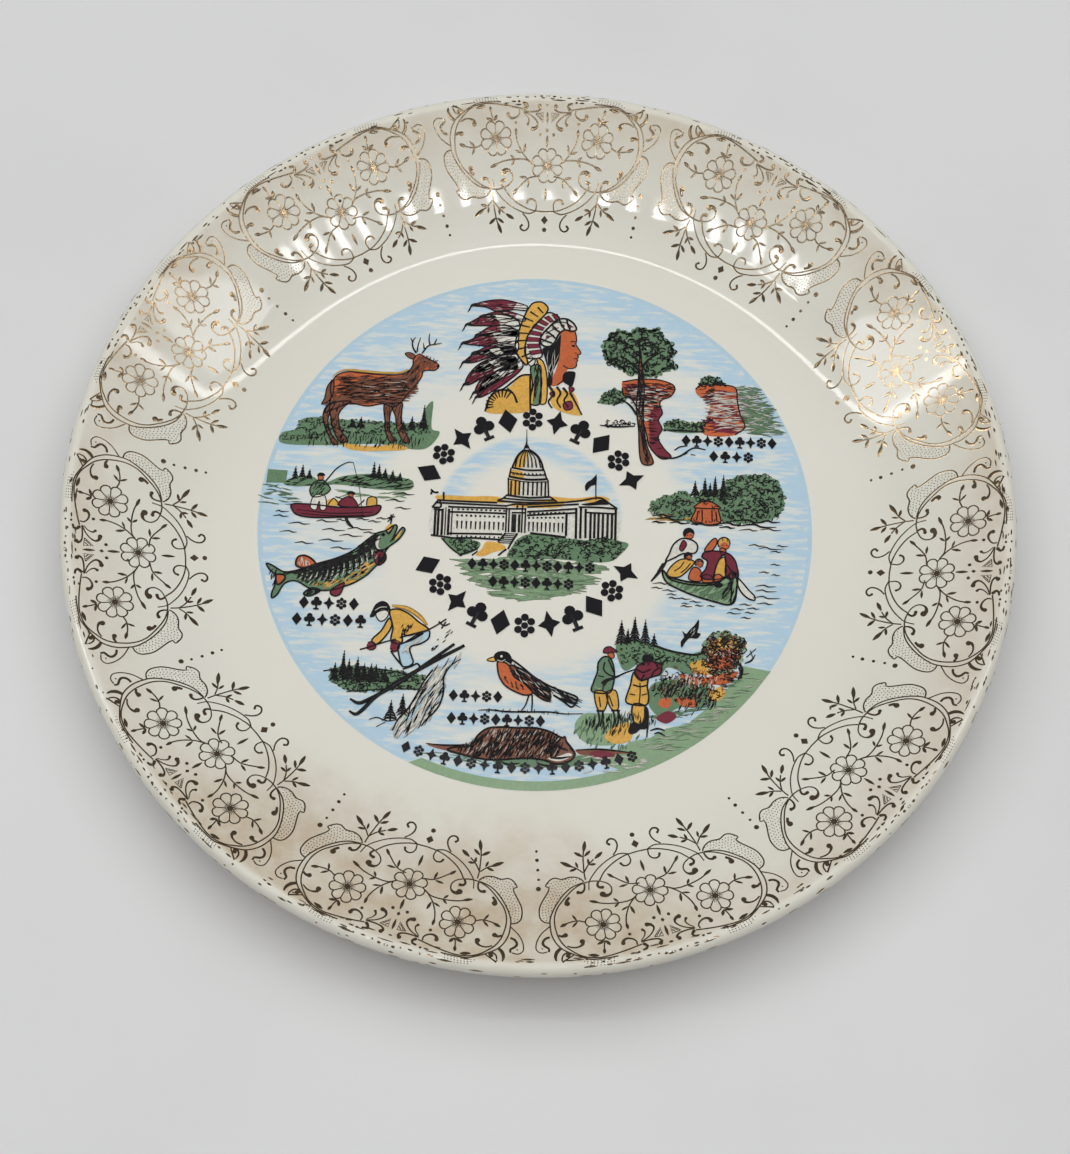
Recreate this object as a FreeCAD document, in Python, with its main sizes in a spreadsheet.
import FreeCAD
import Part
import Sketcher

import math
import os

# A round souvenir plate of glazed earthenware, carried as the layers that it is made from: the
# fired body, the clear glaze fused over it, the printed transfer in the well, the gold transfers
# set round the rim and the gold band on the lip. Millimetres, +Z up, standing on the foot ring
# with the origin at the middle of its standing face.

SIZES = {
    # the earthenware body, without its glaze
    "rim_radius": 117.25,  # outermost reach of the lip
    "wall": 4.2,  # thickness of the floor, the rim and the rounded lip
    "rim_slope": 27.0,  # degrees that the rim rises outwards
    "dish_radius": 42.0,  # the sweep that turns the well up into the rim
    "well_radius": 72.7,  # the flat floor
    # the foot ring under it
    "foot_height": 2.4,
    "foot_radius": 76.0,  # outer edge of the standing face
    "foot_width": 2.8,
    "foot_draft": 1.0,  # how far each side of the ring leans out, foot to floor
    "foot_round": 0.6,
    # the glaze, and the height at the foot that is wiped clear of it
    "glaze": 0.25,
    "bare_height": 0.8,
    # the fired prints
    "film": 0.06,
    "scene_radius": 69.85,
    "scene_shift": 0.85,  # how far the centre print sits off the plate's middle, towards -X
    "print_gap": 9.5,  # bare glaze between the centre print and the border
    "panel_count": 11.0,
    "panel_start": -7.75,  # bearing of the first panel, degrees about +Z from +X
    "dot_radius": 0.65,  # the largest dot of the row beside a panel
    "dot_shrink": 0.85,  # each dot's size as a share of the last
    "band_lap": 0.6,  # how far the lip band comes inwards over the lip's crest
}
DOTS = 5
# One side of a gold panel's outline, from its inner end. The first number is a bearing from the
# panel's middle line as a share of half the pitch between panels, the second a distance
# outwards as a share of the border's depth. The last runs past the border's edge, which trims it.
PANEL_MIDDLE = (0.0, 0.11)
PANEL_SIDE = [(0.23, 0.12), (0.51, 0.10), (0.74, 0.26), (0.80, 0.37), (0.89, 0.62), (0.95, 1.05)]
DOT_BEARING = 0.92
DOT_OUTER, DOT_INNER = 0.46, 0.08
START, END, CENTRE = 1, 2, 3  # a sketch's names for an edge's points
ORIGIN, ACROSS, UPRIGHT = (-1, 1), -1, -2  # its own origin and axes

doc = FreeCAD.newDocument("souvenir_plate")
sheet = doc.addObject("Spreadsheet::Sheet", "Sizes")
for row, (alias, number) in enumerate(SIZES.items(), start=1):
    sheet.set(f"A{row}", alias)
    sheet.set(f"B{row}", str(number))
    sheet.setAlias(f"B{row}", alias)
doc.recompute()
size = {alias: float(sheet.get(alias)) for alias in SIZES}


def point(x, y):
    """A place in a sketch's own plane."""
    return FreeCAD.Vector(x, y, 0)


def arc(centre, radius, start, end):
    """An arc from one bearing to another, in degrees, anticlockwise."""
    circle = Part.Circle(centre, FreeCAD.Vector(0, 0, 1), radius)
    return Part.ArcOfCircle(circle, math.radians(start), math.radians(end))


def tie(sketch, kind, *where):
    """Adds a rule without a size."""
    sketch.addConstraint(Sketcher.Constraint(kind, *where))


def measure(sketch, kind, where, number, text):
    """Adds a dimension and binds it to the sheet."""
    index = sketch.addConstraint(Sketcher.Constraint(kind, *where, number))
    sketch.setExpression(f"Constraints[{index}]", text)


def across(sketch, edge, end, number, text):
    """Fixes how far a sketch point lies to the right of the origin."""
    measure(sketch, "DistanceX", (*ORIGIN, edge, end), number, text)


def up(sketch, edge, end, number, text):
    """Fixes how far a sketch point lies above the origin."""
    measure(sketch, "DistanceY", (*ORIGIN, edge, end), number, text)


def new_body(label):
    """A body that is named for the piece it makes."""
    body = doc.addObject("PartDesign::Body", label)
    body.Label = label
    return body


def section_sketch(body, name):
    """An empty sketch on a body's own XZ plane: right is outwards and up is up."""
    sketch = body.newObject("Sketcher::SketchObject", name)
    plane = next(f for f in body.Origin.OriginFeatures if f.Role == "XZ_Plane")
    sketch.AttachmentSupport = [(plane, "")]
    sketch.MapMode = "FlatFace"
    return sketch


def spin(body, sketch, name):
    """Turns a section a full circle about the plate's axis."""
    turned = body.newObject("PartDesign::Revolution", name)
    turned.Profile = sketch
    turned.ReferenceAxis = (sketch, ["V_Axis"])
    turned.Angle = 360
    return turned


def upper_places(skin):
    """Corners of the upper face with a skin of that thickness on it, and the two arc centres."""
    slope = math.radians(size["rim_slope"])
    normal = point(math.sin(slope), -math.cos(slope))
    floor = size["foot_height"] + size["wall"]
    dish = point(size["well_radius"], floor + size["dish_radius"])
    well_end = point(dish.x, floor + skin)
    dish_end = dish + normal * (size["dish_radius"] - skin)
    # the lip is centred on the middle of the wall
    core = size["wall"] / 2
    mid = dish + normal * (size["dish_radius"] + core)
    lip_x = size["rim_radius"] - core
    lip = point(lip_x, mid.y + (lip_x - mid.x) * math.tan(slope))
    return well_end, dish_end, lip - normal * (core + skin), dish, lip


def shell_sketch(body, name, skin, skin_text):
    """The plate's closed half section, grown all over by a skin: 0 is the bare earthenware."""
    sketch = section_sketch(body, name)
    slope = size["rim_slope"]
    normal = point(math.sin(math.radians(slope)), -math.cos(math.radians(slope)))
    well_end, dish_end, lip_start, dish, lip = upper_places(skin)
    lip_reach = size["wall"] / 2 + skin
    under_reach = size["dish_radius"] + size["wall"] + skin
    ring_x = size["foot_radius"] + size["foot_draft"] + skin
    ring_top = point(ring_x, dish.y - math.sqrt(under_reach**2 - (ring_x - dish.x) ** 2))
    ring_bearing = math.degrees(math.atan2(ring_top.y - dish.y, ring_top.x - dish.x))
    foot_out = point(size["foot_radius"] + skin, 0)
    foot_in = point(size["foot_radius"] - size["foot_width"] - skin, 0)
    recess = point(foot_in.x - size["foot_draft"], size["foot_height"] - skin)
    top_middle, low_middle = point(0, well_end.y), point(0, recess.y)
    shapes = [
        Part.LineSegment(top_middle, well_end),
        arc(dish, size["dish_radius"] - skin, -90, slope - 90),
        Part.LineSegment(dish_end, lip_start),
        arc(lip, lip_reach, slope - 90, slope + 90),
        Part.LineSegment(lip + normal * lip_reach, dish + normal * under_reach),
        arc(dish, under_reach, ring_bearing, slope - 90),
        Part.LineSegment(ring_top, foot_out),
        Part.LineSegment(foot_out, foot_in),
        Part.LineSegment(foot_in, recess),
        Part.LineSegment(recess, low_middle),
        Part.LineSegment(low_middle, top_middle),
    ]
    well, sweep, rim, nose, under, belly, outer, stand, inner, ceiling, axis = range(len(shapes))
    sketch.addGeometry(shapes, False)
    # the smooth joins
    tie(sketch, "Tangent", well, END, sweep, START)
    tie(sketch, "Tangent", sweep, END, rim, START)
    tie(sketch, "Tangent", rim, END, nose, END)
    tie(sketch, "Tangent", nose, START, under, START)
    tie(sketch, "Tangent", under, END, belly, END)
    tie(sketch, "Coincident", belly, CENTRE, sweep, CENTRE)
    # the corners
    for first, last in ((outer, stand), (stand, inner), (inner, ceiling), (ceiling, axis), (axis, well)):
        tie(sketch, "Coincident", first, END, last, START)
    tie(sketch, "Coincident", belly, START, outer, START)
    for level in (well, ceiling):
        tie(sketch, "Horizontal", level)
    tie(sketch, "Parallel", rim, under)
    tie(sketch, "PointOnObject", well, START, UPRIGHT)
    tie(sketch, "PointOnObject", ceiling, END, UPRIGHT)
    tie(sketch, "PointOnObject", stand, START, ACROSS)
    tie(sketch, "PointOnObject", stand, END, ACROSS)
    # the sizes
    foot_in_text = f"Sizes.foot_radius - Sizes.foot_width - {skin_text}"
    up(sketch, well, START, well_end.y, f"Sizes.foot_height + Sizes.wall + {skin_text}")
    up(sketch, ceiling, END, recess.y, f"Sizes.foot_height - {skin_text}")
    across(sketch, well, END, well_end.x, "Sizes.well_radius")
    across(sketch, nose, CENTRE, lip.x, "Sizes.rim_radius - Sizes.wall / 2")
    across(sketch, outer, START, ring_x, f"Sizes.foot_radius + Sizes.foot_draft + {skin_text}")
    across(sketch, stand, START, foot_out.x, f"Sizes.foot_radius + {skin_text}")
    across(sketch, stand, END, foot_in.x, foot_in_text)
    across(sketch, inner, END, recess.x, f"{foot_in_text} - Sizes.foot_draft")
    measure(sketch, "Radius", (sweep,), size["dish_radius"] - skin, f"Sizes.dish_radius - {skin_text}")
    measure(sketch, "Radius", (nose,), lip_reach, f"Sizes.wall / 2 + {skin_text}")
    measure(sketch, "Angle", (rim,), math.radians(slope), "Sizes.rim_slope * 1deg")
    return sketch


def film_sketch(body, name):
    """A strip one print thick that lies on the glaze from the axis to the start of the lip."""
    sketch = section_sketch(body, name)
    slope = size["rim_slope"]
    skins = [(size["glaze"], "Sizes.glaze"), (size["glaze"] + size["film"], "(Sizes.glaze + Sizes.film)")]
    lip_text = "Sizes.rim_radius - Sizes.wall / 2 - (Sizes.wall / 2 + {}) * sin(Sizes.rim_slope)"
    ends = []
    for skin, text in skins:
        well_end, dish_end, lip_start, dish, _ = upper_places(skin)
        middle = point(0, well_end.y)
        ends.append((middle, lip_start))
        well = sketch.addGeometry(Part.LineSegment(middle, well_end), False)
        reach = size["dish_radius"] - skin
        sweep = sketch.addGeometry(arc(dish, reach, -90, slope - 90), False)
        rim = sketch.addGeometry(Part.LineSegment(dish_end, lip_start), False)
        tie(sketch, "Tangent", well, END, sweep, START)
        tie(sketch, "Tangent", sweep, END, rim, START)
        tie(sketch, "Horizontal", well)
        tie(sketch, "PointOnObject", well, START, UPRIGHT)
        up(sketch, well, START, middle.y, f"Sizes.foot_height + Sizes.wall + {text}")
        across(sketch, well, END, well_end.x, "Sizes.well_radius")
        across(sketch, rim, END, lip_start.x, lip_text.format(text))
        measure(sketch, "Radius", (sweep,), reach, f"Sizes.dish_radius - {text}")
        measure(sketch, "Angle", (rim,), math.radians(slope), "Sizes.rim_slope * 1deg")
    (low_middle, low_edge), (high_middle, high_edge) = ends
    edge = sketch.addGeometry(Part.LineSegment(low_edge, high_edge), False)
    axis = sketch.addGeometry(Part.LineSegment(high_middle, low_middle), False)
    tie(sketch, "Coincident", edge, START, rim - 3, END)
    tie(sketch, "Coincident", edge, END, rim, END)
    tie(sketch, "Coincident", axis, START, well, START)
    tie(sketch, "Coincident", axis, END, well - 3, START)
    return sketch


def border_place(bearing, depth):
    """A place on the border for a panel that points along +Y, with the sheet's text for it."""
    half_pitch = "(180deg / Sizes.panel_count)"
    inner_text = "(Sizes.scene_radius + Sizes.print_gap)"
    outer_text = (
        "(Sizes.rim_radius - Sizes.wall / 2"
        " - (Sizes.wall / 2 + Sizes.glaze) * sin(Sizes.rim_slope))"
    )
    lean = math.radians(bearing * 180 / size["panel_count"])
    inner = size["scene_radius"] + size["print_gap"]
    reach = inner + depth * (upper_places(size["glaze"])[2].x - inner)
    reach_text = f"({inner_text} + {depth} * ({outer_text} - {inner_text}))"
    place = point(reach * math.sin(lean), reach * math.cos(lean))
    text_x = f"{reach_text} * sin({bearing} * {half_pitch})"
    text_y = f"{reach_text} * cos({bearing} * {half_pitch})"
    return place, text_x, text_y


def panel_sketch(name):
    """A panel's scalloped outline, and the row of dots beside it."""
    sketch = doc.addObject("Sketcher::SketchObject", name)
    other_side = [(-bearing, depth) for bearing, depth in reversed(PANEL_SIDE)]
    places = [border_place(*corner) for corner in [PANEL_MIDDLE, *PANEL_SIDE, *other_side]]
    crown = len(PANEL_SIDE)
    for number, (place, _, _) in enumerate(places):
        following = places[(number + 1) % len(places)][0]
        if number == crown:
            lean = math.degrees(math.atan2(place.y, place.x))
            sketch.addGeometry(arc(point(0, 0), place.Length, lean, 180 - lean), False)
        else:
            sketch.addGeometry(Part.LineSegment(place, following), False)
    tie(sketch, "Coincident", crown, CENTRE, *ORIGIN)
    for number, (place, text_x, text_y) in enumerate(places):
        tie(sketch, "Coincident", number, END, (number + 1) % len(places), START)
        across(sketch, number, START, place.x, text_x)
        # the crown is an arc about the origin, so its far end already lies on it
        if number != crown + 1:
            up(sketch, number, START, place.y, text_y)
    for number in range(DOTS):
        depth = DOT_OUTER + (DOT_INNER - DOT_OUTER) * number / (DOTS - 1)
        place, text_x, text_y = border_place(DOT_BEARING, round(depth, 4))
        radius = size["dot_radius"] * size["dot_shrink"] ** number
        dot = sketch.addGeometry(Part.Circle(place, FreeCAD.Vector(0, 0, 1), radius), False)
        across(sketch, dot, CENTRE, place.x, text_x)
        up(sketch, dot, CENTRE, place.y, text_y)
        measure(sketch, "Radius", (dot,), radius, f"Sizes.dot_radius * Sizes.dot_shrink ^ {number}")
    return sketch


def band_sketch(body, name):
    """A strip one print thick on the glaze of the lip, from its widest line over its crest."""
    sketch = section_sketch(body, name)
    lip = upper_places(0)[4]
    near = size["wall"] / 2 + size["glaze"]
    far = near + size["film"]
    top = 90 + math.degrees(math.asin(size["band_lap"] / near))
    rise = point(math.cos(math.radians(top)), math.sin(math.radians(top)))
    shapes = [
        arc(lip, near, 0, top),
        arc(lip, far, 0, top),
        Part.LineSegment(lip + point(near, 0), lip + point(far, 0)),
        Part.LineSegment(lip + rise * near, lip + rise * far),
    ]
    inside, outside, low, high = range(len(shapes))
    sketch.addGeometry(shapes, False)
    tie(sketch, "Coincident", inside, CENTRE, outside, CENTRE)
    tie(sketch, "Coincident", inside, START, low, START)
    tie(sketch, "Coincident", outside, START, low, END)
    tie(sketch, "Coincident", inside, END, high, START)
    tie(sketch, "Coincident", outside, END, high, END)
    tie(sketch, "Horizontal", inside, CENTRE, inside, START)
    tie(sketch, "Horizontal", low)
    tie(sketch, "PointOnObject", inside, CENTRE, high)
    middle_text = "(Sizes.dish_radius + Sizes.wall / 2)"
    run_text = (
        "(Sizes.rim_radius - Sizes.wall / 2 - Sizes.well_radius"
        f" - {middle_text} * sin(Sizes.rim_slope))"
    )
    lip_height_text = (
        "Sizes.foot_height + Sizes.wall + Sizes.dish_radius"
        f" - {middle_text} * cos(Sizes.rim_slope) + {run_text} * tan(Sizes.rim_slope)"
    )
    across(sketch, inside, CENTRE, lip.x, "Sizes.rim_radius - Sizes.wall / 2")
    up(sketch, inside, CENTRE, lip.y, lip_height_text)
    lap = (inside, END, inside, CENTRE)
    measure(sketch, "DistanceX", lap, size["band_lap"], "Sizes.band_lap")
    measure(sketch, "Radius", (inside,), near, "Sizes.wall / 2 + Sizes.glaze")
    measure(sketch, "Radius", (outside,), far, "Sizes.wall / 2 + Sizes.glaze + Sizes.film")
    return sketch


def boolean(kind, label, base, tool):
    """A Cut, Fuse or Common of two objects."""
    made = doc.addObject(f"Part::{kind}", label)
    made.Label = label
    made.Base = base
    made.Tool = tool
    return made


def cylinder(label, radius_text, height_text):
    """An upright cylinder from the table up."""
    made = doc.addObject("Part::Cylinder", label)
    made.setExpression("Radius", radius_text)
    made.setExpression("Height", height_text)
    return made


# the earthenware body, with the foot ring's two edges eased
plate = new_body("plate_body")
turned = spin(plate, shell_sketch(plate, "body_section", 0.0, "0"), "body_turned")
doc.recompute()
eased = plate.newObject("PartDesign::Fillet", "foot_rounding")
foot_edges = [
    f"Edge{number}"
    for number, edge in enumerate(turned.Shape.Edges, start=1)
    if edge.BoundBox.ZMax < size["foot_height"] / 2
]
eased.Base = (turned, foot_edges)
eased.setExpression("Radius", "Sizes.foot_round")

# the glaze is the body grown by its thickness, less the body and the wiped foot
grown = new_body("glazed_outside")
spin(grown, shell_sketch(grown, "glazed_section", size["glaze"], "Sizes.glaze"), "glazed_turned")
wiped_radius = "Sizes.foot_radius + Sizes.foot_draft + 2 * Sizes.glaze"
wiped = cylinder("wiped_foot", wiped_radius, "Sizes.bare_height")
glazing = boolean("Cut", "all_glaze", grown, boolean("Fuse", "unglazed", plate, wiped))
# the foot ring parts it into the outside and the round patch in the recess
ring_middle = "Sizes.foot_radius - Sizes.foot_width / 2"
recess = cylinder("foot_recess", ring_middle, "Sizes.foot_height + Sizes.wall / 2")
outside_glaze = boolean("Cut", "glaze_coat", glazing, recess)
recess_glaze = boolean("Common", "foot_recess_glaze", glazing, recess)

# the print film, and the stamps that cut the centre print and the panels from it
film = new_body("print_film")
spin(film, film_sketch(film, "film_section"), "film_turned")
scene_stamp = cylinder("scene_stamp", "Sizes.scene_radius", "Sizes.rim_radius")
scene_stamp.setExpression("Placement.Base.x", "-Sizes.scene_shift")
scene = boolean("Common", "centre_transfer", film, scene_stamp)
outline = panel_sketch("panel_outline")
doc.recompute()

# the same panel at each bearing, clockwise from the first
panels = []
for number in range(int(size["panel_count"])):
    stamp = doc.addObject("Part::Extrusion", f"panel_stamp_{number + 1:02d}")
    stamp.Base = outline
    stamp.DirMode = "Custom"
    stamp.Dir = FreeCAD.Vector(0, 0, 1)
    stamp.Solid = True
    stamp.setExpression("LengthFwd", "Sizes.rim_radius")
    stamp.Placement.Rotation = FreeCAD.Rotation(FreeCAD.Vector(0, 0, 1), 1)
    bearing = f"Sizes.panel_start * 1deg - 90deg - {number} * 360deg / Sizes.panel_count"
    stamp.setExpression("Placement.Rotation.Angle", bearing)
    panels.append(boolean("Common", f"gold_panel_{number + 1:02d}", film, stamp))

# the gold band on the lip
band = new_body("gold_edge_band")
spin(band, band_sketch(band, "band_section"), "band_turned")
doc.recompute()

for item in doc.Objects:
    if "Invalid" in item.State or "Error" in item.State:
        raise SystemExit(f"{item.Label} did not compute: {item.State}")
    if item.isDerivedFrom("Sketcher::SketchObject") and not item.FullyConstrained:
        raise SystemExit(f"{item.Label} has a loose size")

pieces = {
    plate: 1,
    outside_glaze: 1,
    recess_glaze: 1,
    scene: 1,
    band: 1,
    **{panel: 1 + DOTS for panel in panels},
}
for piece, solids in pieces.items():
    if piece.Shape.isNull() or not piece.Shape.isValid():
        raise SystemExit(f"{piece.Label} is not a sound shape")
    if len(piece.Shape.Solids) != solids:
        raise SystemExit(f"{piece.Label} has {len(piece.Shape.Solids)} solids, not {solids}")

os.makedirs("parts", exist_ok=True)
for piece in pieces:
    piece.Shape.exportStep(f"parts/{piece.Label}.step")
    box = piece.Shape.BoundBox
    print(f"{piece.Label}: {piece.Shape.Volume / 1000:.3f} cm3, z {box.ZMin:.2f} to {box.ZMax:.2f}")
